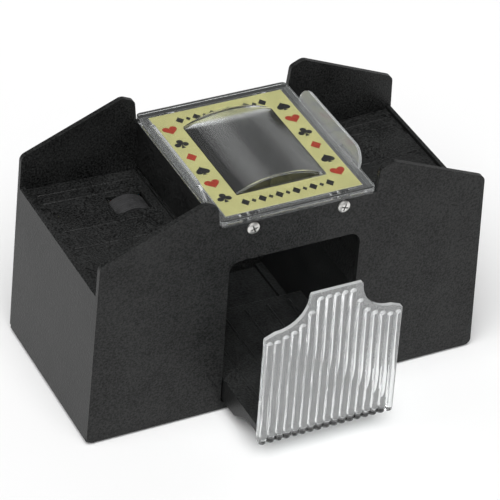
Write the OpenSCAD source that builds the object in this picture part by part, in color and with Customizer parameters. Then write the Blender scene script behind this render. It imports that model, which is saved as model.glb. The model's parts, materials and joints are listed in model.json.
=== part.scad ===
// Battery-driven card shuffler: two sloping hoppers feed one chute and a pull-out tray.
// Millimetres. X is the long way, -Y is the front, +Z is up.
// Modules work from the housing's centre and its bottom edge; placed() moves them to the part's frame.

/* [Housing] */
// Length of the housing along its bottom edge
body_l = 208; // [204:1:212]
// Length of the housing at the top corners of its panels
body_top_l = 200; // [196:1:202]
// Depth of the housing from front to back
body_d = 96; // [95:0.5:98]
// Thickness of the housing's walls
wall = 2.6; // [2.2:0.1:2.8]
// Height of the panels' outer top corners
corner_h = 102.4; // [100:0.2:106]
// Height of the four wing peaks
peak_h = 124; // [121:0.5:128]
// Distance of each wing peak from the middle
peak_x = 47; // [46:0.5:50]
// Height of the end walls
end_h = 85.4; // [84.6:0.1:88]

/* [Hoppers] */
// Height of a hopper floor at its inner edge
floor_h = 81.5; // [80:0.5:82]
// Slope of the hopper floors, falling to the middle
floor_slope = 2.4; // [1.5:0.1:2.8]
// Thickness of the hopper floors
floor_t = 2.2; // [1.8:0.1:2.4]

/* [Cover] */
// Length of the clear cover across the machine
cover_l = 80.6; // [80.2:0.1:81]
// Height of the clear cover's top face
cover_h = 111.7; // [111:0.1:113]
// Width of the dome window
window_l = 46.8; // [40:0.1:50]
// Depth of the dome window
window_d = 59.4; // [50:0.1:64]
// Rise of the dome above the cover
dome_rise = 5.8; // [4:0.1:8]
// Height of the card guides above the cover
guide_h = 8.6; // [6:0.1:11]

/* [Tray] */
// Width of the front opening
opening_w = 68.6; // [68.2:0.1:69]
// Height of the top of the front opening
opening_h = 87.3; // [84:0.1:90]
// Distance that the tray stands drawn out
drawn_out = 40; // [20:1:50]
// Width of the tray's clear front
tray_front_w = 71; // [70:0.5:74]
// Height of the middle of the tray's clear front
tray_front_h = 93; // [91:0.5:96]
// Height of the tray's deck
deck_h = 17.5; // [16.5:0.5:18]
// Number of flutes on the tray's front
flutes = 17; // [13:2:21]

/* [Drive] */
// Diameter of the feed rollers
roller_d = 26; // [24:0.5:26]
// Distance of the feed shafts from the middle
feed_x = 55; // [54:0.5:56]
// Height by which the rollers stand above the hopper floors
roller_proud = 1; // [0.6:0.1:1.4]
// Module of the gears
gear_m = 0.8; // [0.7:0.05:0.8]
// Diameter of the feed shafts
feed_shaft_d = 5; // [4:0.5:5]

/* [Feet and button] */
// Height of the rubber feet below the housing
foot_h = 1.2; // [1:0.1:3]
// Diameter of the start button
button_d = 14; // [10:1:16]

/* [Hidden] */
$fn = 64;

black = [0.09, 0.09, 0.095];
clear = [0.86, 0.9, 0.92, 0.45];
steel = [0.72, 0.72, 0.74];
brass = [0.78, 0.63, 0.32];
nylon = [0.9, 0.88, 0.82];
rubber = [0.16, 0.16, 0.17];

gap = 0.2;                                  // static clearance between fitted mouldings
fit = 0.01;                                 // radial clearance of a fixed fit
running = 0.05;                             // radial clearance of a running fit
inner_d = body_d - 2 * wall;
tray_front_t = 1.8;                         // thickness of the clear front at its top edge
tray_front_base_t = 3;                      // thickness of the clear front at its bottom edge
flute_proud = 1.2;                          // height of the flutes on the clear front
tray_back_y = -body_d / 2 - drawn_out;      // back face of the clear front, with the tray drawn out
front_y = tray_back_y - tray_front_base_t - flute_proud;
screw_head = 1.6;                           // height of the cover screws' heads
y_mid = -(front_y + body_d / 2 + screw_head) / 2;   // puts the part's own origin under the middle of its box

// Outer half length of the housing at height z, and its height at half length x on a floor
function wall_x(z) = body_l / 2 - (body_l - body_top_l) / 2 * z / corner_h;
function floor_z(x) = floor_h + (x - cover_l / 2) * tan(floor_slope);

// An outline whose corners [x, y, radius] are rounded by arcs of n steps
function unit(v) = v / norm(v);
function round_corner(p, q, s, n) =
    let (
        at = [q[0], q[1]],
        a = unit([p[0], p[1]] - at),
        b = unit([s[0], s[1]] - at),
        half = acos(a * b) / 2,
        c = at + unit(a + b) * q[2] / sin(half),
        p0 = at + a * q[2] / tan(half) - c,
        p1 = at + b * q[2] / tan(half) - c,
        a0 = atan2(p0[1], p0[0]),
        turn = (atan2(p1[1], p1[0]) - a0 + 540) % 360 - 180
    )
    q[2] == 0 ? [at] : [for (i = [0:n]) c + q[2] * [cos(a0 + turn * i / n), sin(a0 + turn * i / n)]];
function rounded(pts, n = 6) = [
    for (i = [0:len(pts) - 1])
        each round_corner(pts[(i + len(pts) - 1) % len(pts)], pts[i], pts[(i + 1) % len(pts)], n)
];
function mirrored(pts) = concat(pts, [for (i = [len(pts) - 1:-1:0]) [-pts[i][0], pts[i][1], pts[i][2]]]);

module placed() translate([0, y_mid, foot_h]) children();
// Both hands of a piece are drawn at +X; left() turns one into its mirror image
module left() mirror([1, 0, 0]) children();
// An XZ outline extruded along Y from y0 to y1
module slab(y0, y1) translate([0, y1, 0]) rotate([90, 0, 0]) linear_extrude(y1 - y0) children();
// A cylinder along Y, and a box given by its two corners
module rod(x, z, r, y0, y1) translate([x, y1, z]) rotate([90, 0, 0]) cylinder(r = r, h = y1 - y0);
module box(lo, hi) translate(lo) cube(hi - lo);

// ---- Housing ----
cover_t = 3;                                // thickness of the cover's rim
panel_top = cover_h - cover_t;              // height of the panels under the cover
sill_h = 3.9;
opening_r = 6;
boss = 8;                                   // side of the square screw bosses
base_screw_r = 1.4;
boss_x = wall_x(0) - wall - boss / 2 - 1;
boss_y = inner_d / 2 - boss / 2;
ledge_x = wall_x(end_h) - wall - 3;
ledge_top = floor_z(ledge_x) - floor_t - 0.05;
cover_screw_x = 23.5;
cover_screw_z = 105;
cover_screw_r = 1.5;
button_y = -16;
button_z = 58;

panel_points = mirrored([
    [wall_x(0), 0, 3],
    [wall_x(corner_h), corner_h, 4],
    [peak_x + 1.5, peak_h, 4.5],
    [cover_l / 2 + 1.6, peak_h - 3, 3],
    [cover_l / 2 + 0.3, panel_top, 0]
]);
opening_points = mirrored([
    [opening_w / 2, sill_h, 1.5],
    [opening_w / 2, opening_h, opening_r]
]);

module panel_outline() polygon(rounded(panel_points));
module opening_outline() polygon(rounded(opening_points, 10));
module end_wall() slab(-body_d / 2 + wall / 2, body_d / 2 - wall / 2) polygon([
    [wall_x(0) - wall, 0],
    [wall_x(0) - 0.6, 0],
    [wall_x(0), 1],
    [wall_x(end_h), end_h - 0.8],
    [wall_x(end_h) - 0.8, end_h],
    [wall_x(end_h) - wall, end_h]
]);
module base_screw_places() for (x = [-boss_x, boss_x], y = [-boss_y, boss_y]) translate([x, y, 0]) children();
module cover_screw_holes(r, y0, y1) for (s = [-1, 1]) rod(s * cover_screw_x, cover_screw_z, r, y0, y1);
module housing_shell() color(black) difference() {
    union() {
        slab(-body_d / 2, -body_d / 2 + wall) difference() {
            panel_outline();
            opening_outline();
        }
        slab(body_d / 2 - wall, body_d / 2) panel_outline();
        for (m = [0, 1]) mirror([m, 0, 0]) {
            end_wall();
            for (n = [0, 1]) mirror([0, n, 0]) {
                // screw boss in each bottom corner, joined to both walls
                box([boss_x - boss / 2, boss_y - boss / 2, 3],
                    [wall_x(14) - wall / 2, inner_d / 2 + 0.5, 14]);
                // ledge that carries the hopper floor
                box([ledge_x, inner_d / 2 - 4, ledge_top - 4],
                    [wall_x(end_h) - wall / 2, inner_d / 2 + 0.5, ledge_top]);
            }
        }
    }
    cover_screw_holes(cover_screw_r + gap, -body_d / 2 - 1, -inner_d / 2 + 1);
    cover_screw_holes(cover_screw_r + gap, inner_d / 2 - 1, body_d / 2 + 1);
    base_screw_places() translate([0, 0, 2]) cylinder(r = base_screw_r - 0.2, h = 10);
    // hole for the start button in the right end wall
    translate([wall_x(button_z) - 5, button_y, button_z]) rotate([0, 90, 0])
        cylinder(d = button_d + 0.6, h = 10);
}

// ---- Base ----
base_t = 2.5;
base_z = 0.3;
base_top = base_z + base_t;
base_l = 2 * (wall_x(0) - wall - 0.3);
base_w = inner_d - 0.6;
box_x0 = 42.4;                              // inner side of a battery box
box_x1 = 99.4;                              // outer side of a battery box
box_w = 58;                                 // depth of a battery box
box_top = 33;
box_t = 1.5;
door_x0 = 45;
door_x1 = 97;
door_w = 54;
hinge_r = base_t / 2;                       // radius of a door's rounded hinge edge
hinge_x = door_x0 + hinge_r;
hinge_z = base_z + hinge_r;
hinge_pin_r = 0.7;
rail_x = 31.5;                              // the tray's skirts run on two rails
rail_top = 4.8;
foot_d = 12;
foot_x = 84;
foot_y = 36;

module foot_places() for (x = [-foot_x, foot_x], y = [-foot_y, foot_y]) translate([x, y, 0]) children();
module base_plate() color(black) difference() {
    union() {
        translate([0, 0, base_z]) linear_extrude(base_t) square([base_l, base_w], center = true);
        for (s = [-1, 1])
            box([s * rail_x - 2, -base_w / 2, base_top - 0.5], [s * rail_x + 2, base_w / 2, rail_top]);
    }
    for (m = [0, 1]) mirror([m, 0, 0]) box([door_x0 - gap, -door_w / 2 - gap, base_z - 1],
                                           [door_x1 + gap, door_w / 2 + gap, base_top + 1]);
    // sockets for the doors' hinge pins
    for (s = [-1, 1]) rod(s * hinge_x, hinge_z, hinge_pin_r + running, -door_w / 2 - 1.8, door_w / 2 + 1.8);
    base_screw_places() translate([0, 0, base_z - 1]) {
        cylinder(r = base_screw_r + gap, h = base_t + 2);
        cylinder(r = 3 + gap, h = 2.2);
    }
    // shallow seats for the rubber feet
    foot_places() translate([0, 0, base_z - 1]) cylinder(d = foot_d + 0.4, h = 1.8);
}
module rubber_feet() color(rubber) foot_places() {
    translate([0, 0, -foot_h]) cylinder(r1 = foot_d / 2 - 0.6, r2 = foot_d / 2, h = 0.6);
    translate([0, 0, -foot_h + 0.6]) cylinder(d = foot_d, h = foot_h + base_z + 0.2);
}

// A pan-head screw along +Z with its head's face at 0, and a cross recess
module screw(head_r, head_h, shank_r, shank_l) difference() {
    union() {
        intersection() {
            cylinder(r = head_r, h = head_h);
            translate([0, 0, head_r * 1.55]) sphere(r = head_r * 1.62);
        }
        cylinder(r = shank_r, h = head_h + shank_l);
    }
    for (a = [0, 90]) rotate([0, 0, a])
        box([-head_r * 0.62, -head_r * 0.11, -1], [head_r * 0.62, head_r * 0.11, head_h * 0.55]);
}
module base_screws() color(steel) base_screw_places()
    translate([0, 0, base_z - 0.2]) screw(3, 1.35, base_screw_r - 0.22, 9);

// ---- Hopper floors, chutes and gates ----
roller_y = 20;                              // distance of each roller from the middle
roller_w = 12;
slot_half = 9.4;
feed_z = floor_z(feed_x) + roller_proud - roller_d / 2;
chute_x = 37.6;                             // inner face of the chute at its top
chute_low_x = 34.3;                         // inner face of the chute beside the tray
chute_t = 2;
chute_top = floor_h - 0.6;

module hopper_floor() {
    x0 = cover_l / 2 - 0.2;
    x1 = wall_x(end_h) - wall - gap;
    color(black) difference() {
        slab(-inner_d / 2 + gap, inner_d / 2 - gap) polygon([
            [x0, floor_z(x0) - floor_t],
            [x0, floor_z(x0) - 0.5],
            [x0 + 0.8, floor_z(x0 + 0.8)],
            [x1, floor_z(x1)],
            [x1, floor_z(x1) - floor_t]
        ]);
        for (s = [-1, 1]) box([feed_x - slot_half, s * roller_y - roller_w / 2 - 1, floor_h - 10],
                              [feed_x + slot_half, s * roller_y + roller_w / 2 + 1, floor_h + 10]);
    }
}
module chute() color(black) slab(-inner_d / 2 + gap, inner_d / 2 - gap) polygon(rounded([
    [chute_x, chute_top, 0.6],
    [chute_x, 67, 3],
    [chute_low_x, 54, 3],
    [chute_low_x, base_top + 0.1, 0],
    [chute_low_x + chute_t, base_top + 0.1, 0],
    [chute_low_x + chute_t, 53, 2],
    [chute_x + chute_t, 66, 2],
    [chute_x + chute_t, chute_top, 0.6]
], 4));
gate_bottom = floor_h + 2.4;
gate_x0 = cover_l / 2 - 2.6;
gate_x1 = cover_l / 2 - 0.2;
module gate() color(black) slab(-inner_d / 2 + gap, inner_d / 2 - gap) polygon(rounded([
    [gate_x0, gate_bottom, 0.8],
    [gate_x1, gate_bottom, 0.8],
    [gate_x1, panel_top - 0.1, 0],
    [gate_x0, panel_top - 0.1, 0]
], 4));
module retard_pad() color(rubber) slab(-14, 14) polygon(rounded([
    [gate_x0 + 0.3, gate_bottom - 0.02, 0],
    [gate_x0 + 0.3, floor_h + 0.8, 0.5],
    [gate_x1 - 0.3, floor_h + 1.2, 0.5],
    [gate_x1 - 0.3, gate_bottom - 0.02, 0]
], 4));

// ---- Clear cover and its label ----
cover_d = body_d + 0.4;
skin_t = 1.4;                               // thickness of the cover over the label
label_l = 70.8;
label_d = 86.2;
label_t = 0.3;
dome_t = 1.6;
dome_r = (pow(window_l / 2, 2) + pow(dome_rise, 2)) / (2 * dome_rise);
tab_l = 9;
tab_t = 4;
guide_half = 31;
guide_t = 1.5;
guide_r = 8;
guide_lean = 10;

// Section of the dome shell, cut level with the cover's top face
module dome_section(r, z_cut) intersection() {
    translate([0, cover_h + dome_rise - dome_r]) circle(r = r, $fn = 128);
    translate([-window_l / 2 - 2, z_cut]) square([window_l + 4, 20]);
}
module card_guide() translate([cover_l / 2 - guide_t, 0, cover_h - cover_t]) rotate([0, guide_lean, 0])
    rotate([90, 0, 90]) linear_extrude(guide_t) polygon(rounded(mirrored([
        [guide_half, 0.5, 0],
        [guide_half, guide_h + cover_t, guide_r]
    ]), 10));
module top_cover() color(clear) difference() {
    union() {
        translate([0, 0, cover_h - cover_t]) linear_extrude(cover_t)
            polygon(rounded(mirrored([[cover_l / 2, -cover_d / 2, 2.5], [cover_l / 2, cover_d / 2, 2.5]])));
        slab(-window_d / 2, window_d / 2) dome_section(dome_r, cover_h - 0.5);
        for (m = [0, 1]) mirror([m, 0, 0]) card_guide();
        for (sx = [-1, 1], sy = [-1, 1])
            translate([sx * cover_screw_x, sy * (inner_d / 2 - gap - tab_t / 2), panel_top - 4 + 0.5])
                cube([tab_l, tab_t, 9], center = true);
    }
    // label recess, then the well of the dome
    box([-label_l / 2 - 0.2, -label_d / 2 - 0.2, cover_h - cover_t - 1],
        [label_l / 2 + 0.2, label_d / 2 + 0.2, cover_h - skin_t]);
    slab(-window_d / 2 + dome_t, window_d / 2 - dome_t) dome_section(dome_r - dome_t, cover_h - cover_t - 1);
    cover_screw_holes(cover_screw_r - 0.25, -inner_d / 2 - 1, -inner_d / 2 + tab_t + 1);
    cover_screw_holes(cover_screw_r - 0.25, inner_d / 2 - tab_t - 1, inner_d / 2 + 1);
}
module label_sheet() color([0.8, 0.78, 0.5]) translate([0, 0, cover_h - skin_t - label_t - 0.05])
    linear_extrude(label_t) difference() {
        square([label_l, label_d], center = true);
        square([window_l, window_d], center = true);
    }
module cover_screw_pair() for (s = [-1, 1])
    translate([s * cover_screw_x, -body_d / 2 - screw_head, cover_screw_z]) rotate([-90, s * 20, 0])
        screw(3.1, screw_head, cover_screw_r - 0.26, 6.3);
module front_cover_screws() color(steel) cover_screw_pair();
module rear_cover_screws() color(steel) mirror([0, 1, 0]) cover_screw_pair();

// ---- Tray ----
deck_w = 66.4;
deck_l = 90;
deck_t = 2.5;
skirt_t = 2;
heel_w = 54;
keel_z = 5;                                 // underside of the tray's skirts
nose_z = 12.8;                              // underside of the skirts near the tray's front
notch_r = 16.6;                             // finger notches in the clear front
notch_x = 30;
shoulder_z = 72.9;
foot_z = 12.2;                              // bottom edge of the clear front
foot_flange_t = 1.3;
foot_flange_l = 12;
flange_top = foot_z + foot_flange_t + 0.05;
tray_screw_x = 20;
tray_screw_y = tray_back_y + 7;
front_lean = atan((tray_front_base_t - tray_front_t) / (tray_front_h - foot_z));
pitch = tray_front_w / flutes;

skirt_points = [
    [tray_back_y + 0.1, deck_h - 1],
    [tray_back_y + 0.1, nose_z],
    [tray_back_y + 14.6, nose_z],
    [tray_back_y + 27.8, keel_z],
    [tray_back_y + deck_l, keel_z],
    [tray_back_y + deck_l, deck_h - 1]
];
module tray_screw_places(z) for (s = [-1, 1]) translate([s * tray_screw_x, tray_screw_y, z]) children();
module tray_side(x0, x1) translate([x0, 0, 0]) rotate([90, 0, 90])
    linear_extrude(x1 - x0) polygon(skirt_points);
module tray_deck() color(black) difference() {
    union() {
        box([-deck_w / 2, tray_back_y + 0.1, deck_h - deck_t], [deck_w / 2, tray_back_y + deck_l, deck_h]);
        tray_side(-deck_w / 2, -deck_w / 2 + skirt_t);
        tray_side(deck_w / 2 - skirt_t, deck_w / 2);
        box([-deck_w / 2, tray_back_y + 0.1, flange_top], [deck_w / 2, tray_back_y + 2, deck_h - 1]);
        box([-deck_w / 2, tray_back_y + deck_l - 2, keel_z], [deck_w / 2, tray_back_y + deck_l, deck_h - 1]);
        // low heel that stops on the sill when the tray is drawn right out
        box([-heel_w / 2, tray_back_y + deck_l - 2, base_top + 0.4],
            [heel_w / 2, tray_back_y + deck_l, keel_z + 1]);
        tray_screw_places(flange_top) cylinder(r = 3, h = deck_h - flange_top - 1);
    }
    tray_screw_places(flange_top - 1) cylinder(r = 1.2, h = 4.3);
}

notch_points = [
    for (a = [270:-9:180]) [notch_x + notch_r * cos(a), tray_front_h - 1.2 + notch_r * sin(a), 0]
];
front_points = mirrored(concat(
    [[tray_front_w / 2, foot_z, 1.2], [tray_front_w / 2, shoulder_z, 0.7]],
    notch_points,
    [[notch_x - notch_r - 0.6, tray_front_h, 0.5]]
));
// Height of the outline's top edge at a distance from the middle
function front_top(x) =
    x < notch_x - notch_r ? tray_front_h
    : x < notch_x ? tray_front_h - 1.2 - sqrt(pow(notch_r, 2) - pow(notch_x - x, 2))
    : shoulder_z + 1;
flute_half = pitch * 0.45;                  // half width of a flute
flute_r = (pow(flute_half, 2) + pow(flute_proud, 2)) / (2 * flute_proud);
flute_top_gap = 4.2;
function flute_l(x) = front_top(abs(x) + flute_half) - foot_z - flute_top_gap;

// One convex flute with a rounded top, standing on the front face of the panel
module flute(x) intersection() {
    translate([x, flute_r - flute_proud, 0]) union() {
        cylinder(r = flute_r, h = flute_l(x), $fn = 48);
        translate([0, 0, flute_l(x)]) sphere(r = flute_r, $fn = 48);
    }
    box([x - pitch, -flute_proud - 1, 0], [x + pitch, 0.3, 100]);
}
module tray_front() color(clear) difference() {
    union() {
        intersection() {
            slab(tray_back_y - 10, tray_back_y) polygon(rounded(front_points, 4));
            translate([-50, 0, 0]) rotate([90, 0, 90]) linear_extrude(100) polygon([
                [tray_back_y, foot_z - 1],
                [tray_back_y - tray_front_base_t, foot_z],
                [tray_back_y - tray_front_t, tray_front_h],
                [tray_back_y, tray_front_h + 1]
            ]);
        }
        translate([0, tray_back_y - tray_front_base_t, foot_z]) rotate([-front_lean, 0, 0])
            for (i = [0:flutes - 1]) flute((i - (flutes - 1) / 2) * pitch);
        box([-deck_w / 2 + skirt_t + gap, tray_back_y - 0.5, foot_z],
            [deck_w / 2 - skirt_t - gap, tray_back_y + foot_flange_l, foot_z + foot_flange_t]);
    }
    tray_screw_places(foot_z - 1) cylinder(r = 1.5, h = 4);
}
module tray_screws() color(steel) tray_screw_places(foot_z - 1.2) screw(2.5, 1.2, 1.15, 4);

// ---- Feed drive, drawn for the right side ----
pinion_teeth = 10;
idler_big_teeth = 40;
idler_small_teeth = 12;
feed_teeth = 20;
feed = [feed_x, feed_z];
idler_dir = -60;                            // direction from the feed shaft to the idler
motor_dir = -20;                            // direction from the idler to the motor
idler = feed + gear_m * (feed_teeth + idler_small_teeth) / 2 * [cos(idler_dir), sin(idler_dir)];
motor = idler + gear_m * (idler_big_teeth + pinion_teeth) / 2 * [cos(motor_dir), sin(motor_dir)];
bracket_y = 33;
bracket_t = 2;
low_gear_y = bracket_y + bracket_t + 0.6;   // plane of the feed gear and the small idler gear
high_gear_y = low_gear_y + 4.4;             // plane of the large idler gear and the pinion
gear_w = 3.4;
motor_d = 24;
motor_l = 25;
idler_axle_d = 3;
motor_shaft_d = 2;
front_plate_y = -38;

// Involute gear outline with a tooth pointing along +X
pressure = 25;
backlash = 0.14;
function roll(r, rb) = sqrt(max(pow(r / rb, 2) - 1, 0)) * 180 / PI;
function involute(r, rb) = roll(r, rb) - atan(roll(r, rb) * PI / 180);
function tooth_points(teeth) =
    let (
        pr = gear_m * teeth / 2,
        rb = pr * cos(pressure),
        r0 = pr - 1.05 * gear_m,
        r1 = pr + 0.8 * gear_m,
        lead = (90 / teeth) - backlash / 2 / pr * 180 / PI + involute(pr, rb),
        low = max(r0, rb),
        flank = [for (i = [0:3]) let (r = low + (r1 - low) * i / 3) [r, lead - involute(r, rb)]],
        half = concat([[r0, lead + 0.3]], flank)
    )
    concat([for (p = half) [p[0], -p[1]]], [for (i = [len(half) - 1:-1:0]) half[i]]);
module gear_outline(teeth) polygon([
    for (k = [0:teeth - 1]) each [
        for (p = tooth_points(teeth)) p[0] * [cos(p[1] + 360 * k / teeth), sin(p[1] + 360 * k / teeth)]
    ]
]);
// A spur gear on an axis along Y; turn is the direction of one tooth in the XZ plane
module gear(at, teeth, turn, bore_r, y0, w) translate([at[0], y0 + w, at[1]]) rotate([90, 0, 0])
    linear_extrude(w) difference() {
        rotate(turn) gear_outline(teeth);
        circle(r = bore_r);
    }

module drive_bracket() color(nylon) difference() {
    slab(bracket_y, bracket_y + bracket_t) polygon(rounded([
        [feed_x - 12, feed_z - 9, 3],
        [motor[0] - 14, motor[1] - 15, 4],
        [motor[0] + 13, motor[1] - 15, 4],
        [motor[0] + 13, motor[1] + 16, 4],
        [feed_x + 16, floor_z(feed_x + 16) - floor_t - 0.02, 0.6],
        [feed_x - 12, floor_z(feed_x - 12) - floor_t - 0.02, 0.6]
    ]));
    rod(feed_x, feed_z, bush_r + fit, bracket_y - 1, bracket_y + bracket_t + 1);
    rod(idler[0], idler[1], idler_axle_d / 2 + fit, bracket_y - 1, bracket_y + bracket_t + 1);
    rod(motor[0], motor[1], 3.2, bracket_y - 1, bracket_y + bracket_t + 1);
    motor_screw_holes(1.1, bracket_y - 1, bracket_y + bracket_t + 1);
}
module bearing_plate() color(nylon) difference() {
    slab(front_plate_y - 2, front_plate_y) polygon(rounded([
        [feed_x - 9, feed_z - 8, 3],
        [feed_x + 9, feed_z - 8, 3],
        [feed_x + 12, floor_z(feed_x + 12) - floor_t - 0.02, 0.6],
        [feed_x - 12, floor_z(feed_x - 12) - floor_t - 0.02, 0.6]
    ]));
    rod(feed_x, feed_z, bush_r + fit, front_plate_y - 3, front_plate_y + 1);
}
bush_r = feed_shaft_d / 2 + 1.3;
module bush(y0, y1, flange_y) difference() {
    union() {
        rod(feed_x, feed_z, bush_r, y0, y1);
        rod(feed_x, feed_z, bush_r + 1, flange_y, flange_y + 0.8);
    }
    rod(feed_x, feed_z, feed_shaft_d / 2 + running, y0 - 2, y1 + 2);
}
module shaft_bushes() color(brass) {
    bush(front_plate_y - 2.4, front_plate_y + 0.4, front_plate_y + 0.02);
    bush(bracket_y - 0.4, bracket_y + bracket_t, bracket_y - 0.82);
}
module motor_can() color(steel) difference() {
    union() {
        rod(motor[0], motor[1], motor_d / 2, bracket_y - motor_l, bracket_y - 0.02);
        rod(motor[0], motor[1], 3, bracket_y - 0.5, bracket_y + 1);
    }
    for (s = [-1, 1]) box([motor[0] - 20, bracket_y - motor_l - 1, motor[1] + (s < 0 ? -20 : 9.2)],
                          [motor[0] + 20, bracket_y - 0.6, motor[1] + (s < 0 ? -9.2 : 20)]);
    rod(motor[0], motor[1], motor_shaft_d / 2 + running, bracket_y - motor_l - 1, bracket_y + 2);
    motor_screw_holes(0.95, bracket_y - 3, bracket_y + 1);
}
module motor_cap() color(nylon) difference() {
    intersection() {
        rod(motor[0], motor[1], motor_d / 2 - 0.6, bracket_y - motor_l - 3, bracket_y - motor_l - 0.02);
        box([motor[0] - 20, bracket_y - motor_l - 4, motor[1] - 8.8],
            [motor[0] + 20, bracket_y - motor_l, motor[1] + 8.8]);
    }
    rod(motor[0], motor[1], 2.2, bracket_y - motor_l - 4, bracket_y - motor_l + 1);
}
// Two small screws hold each motor to its bracket
motor_screw_x = 7;
module motor_screw_holes(r, y0, y1) for (s = [-1, 1]) rod(motor[0] + s * motor_screw_x, motor[1], r, y0, y1);
module drive_screws() color(steel) for (m = [0, 1]) mirror([m, 0, 0]) for (s = [-1, 1])
    translate([motor[0] + s * motor_screw_x, bracket_y + bracket_t + 1, motor[1]]) rotate([90, 0, 0])
        screw(1.8, 1, 0.9, 4);
module idler_axle() color(steel) rod(idler[0], idler[1], idler_axle_d / 2, bracket_y - 1, inner_d / 2 - 0.4);
module motor_shaft() color(steel) rod(motor[0], motor[1], motor_shaft_d / 2,
    bracket_y - motor_l - 2.6, high_gear_y + gear_w + 0.3);
module motor_pinion() color(brass) gear(motor, pinion_teeth, motor_dir + 180 + 180 / pinion_teeth,
    motor_shaft_d / 2 + fit, high_gear_y, gear_w);
module idler_gear() color(nylon) union() {
    gear(idler, idler_small_teeth, idler_dir + 180 + 180 / idler_small_teeth,
        idler_axle_d / 2 + running, low_gear_y, gear_w + 1.01);
    gear(idler, idler_big_teeth, motor_dir, idler_axle_d / 2 + running, high_gear_y, gear_w);
}
module feed_gear() color(nylon) gear(feed, feed_teeth, idler_dir, feed_shaft_d / 2 + fit, low_gear_y, gear_w);
module feed_shaft() color(steel)
    rod(feed_x, feed_z, feed_shaft_d / 2, front_plate_y - 4, low_gear_y + gear_w + 0.2);
hub_r = roller_d / 2 - 3;
// One hub is centred on y
module roller_hub(y) difference() {
    union() {
        rod(feed_x, feed_z, hub_r - fit, y - roller_w / 2, y + roller_w / 2);
        rod(feed_x, feed_z, feed_shaft_d / 2 + 2.2, y - roller_w / 2 - 1.5, y + roller_w / 2 + 1.5);
    }
    rod(feed_x, feed_z, feed_shaft_d / 2 + fit, y - roller_w, y + roller_w);
}
module roller_hubs() color(nylon) for (s = [-1, 1]) roller_hub(s * roller_y);
module roller_tyres() color(rubber) for (s = [-1, 1])
    translate([feed_x, s * roller_y, feed_z]) rotate([90, 0, 0]) rotate_extrude($fn = 96) polygon(concat(
        [[hub_r, -roller_w / 2], [roller_d / 2 - 0.6, -roller_w / 2]],
        [for (g = [-1, 0, 1]) each [
            [roller_d / 2, g * 4 - 1.4], [roller_d / 2, g * 4 + 1.4], [roller_d / 2 - 0.6, g * 4 + 1.7],
            if (g < 1) [roller_d / 2 - 0.6, g * 4 + 2.3]
        ]],
        [[roller_d / 2 - 0.6, roller_w / 2], [hub_r, roller_w / 2]]
    ));

// ---- Batteries, drawn for the right side ----
cell_r = 13;
cell_l = 46.8;
nub_l = 1.8;
cell_y = 13.6;
cell_z = base_top + 1.2 + cell_r;
plate_t = 0.45;
// inner end of each cell, which stands on its spring at one end and on a plate at the other
function cell_x0(s) = box_x0 + box_t + plate_t + 0.15 + (s < 0 ? spring_l : 0);

module battery_box() color(black) difference() {
    box([box_x0, -box_w / 2, base_top + 0.05], [box_x1, box_w / 2, box_top]);
    box([box_x0 + box_t, -box_w / 2 + box_t, 0], [box_x1 - box_t, box_w / 2 - box_t, box_top - box_t]);
}
module battery_door() color(black) difference() {
    union() {
        box([hinge_x, -door_w / 2, base_z], [door_x1, door_w / 2, base_top]);
        rod(hinge_x, hinge_z, hinge_r, -door_w / 2, door_w / 2);
        rod(hinge_x, hinge_z, hinge_pin_r, -door_w / 2 - 1.5, door_w / 2 + 1.5);
        // lip that snaps behind the base
        box([door_x1 - 4, -8, base_top - 0.01], [door_x1 - 2.6, 8, base_top + 1]);
    }
    for (i = [0:4]) box([door_x1 - 14 + i * 2, -9, base_z - 1], [door_x1 - 13 + i * 2, 9, base_z + 0.5]);
}
module cells() color([0.5, 0.36, 0.2]) for (s = [-1, 1]) translate([cell_x0(s), s * cell_y, cell_z]) {
    // the two cells lie head to tail
    translate([s < 0 ? 0 : cell_l + nub_l, 0, 0]) mirror([s < 0 ? 0 : 1, 0, 0]) rotate([0, 90, 0]) {
        cylinder(r = cell_r, h = cell_l);
        cylinder(r = 3.2, h = cell_l + nub_l);
    }
}
// A closed tube through rings that all have the same number of points
module tube(rings) {
    sides = len(rings[0]);
    last = len(rings) - 1;
    polyhedron(
        points = [for (ring = rings) each ring],
        faces = concat(
            [[for (k = [sides - 1:-1:0]) k]],
            [for (i = [0:last - 1], k = [0:sides - 1]) [
                i * sides + k,
                i * sides + (k + 1) % sides,
                (i + 1) * sides + (k + 1) % sides,
                (i + 1) * sides + k
            ]],
            [[for (k = [0:sides - 1]) last * sides + k]]
        )
    );
}
spring_turns = 3;
spring_l = 4.2;
spring_wire = 0.4;
spring_steps = spring_turns * 12;
function spring_ring(i) =
    let (
        a = 360 * spring_turns * i / spring_steps,
        r = 5.2 - 1.8 * i / spring_steps,
        x = spring_wire + (spring_l - 2 * spring_wire) * i / spring_steps
    )
    [for (k = [0:5]) [
        x + spring_wire * sin(60 * k),
        (r + spring_wire * cos(60 * k)) * cos(a),
        (r + spring_wire * cos(60 * k)) * sin(a)
    ]];
module coil_spring() tube([for (i = [0:spring_steps]) spring_ring(i)]);
module contact_springs() color(steel) {
    translate([box_x0 + box_t + plate_t + 0.05, -cell_y, cell_z]) coil_spring();
    translate([cell_x0(1) + cell_l + nub_l + spring_l + 0.1, cell_y, cell_z]) mirror([1, 0, 0]) coil_spring();
}
module contact_plates() color(brass) {
    for (s = [-1, 1]) box([box_x0 + box_t + 0.02, s * cell_y - 7, cell_z - 7],
                          [box_x0 + box_t + plate_t, s * cell_y + 7, cell_z + 7]);
    box([box_x1 - box_t - plate_t, -cell_y - 7, cell_z - 7], [box_x1 - box_t - 0.02, cell_y + 7, cell_z + 7]);
}

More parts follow.
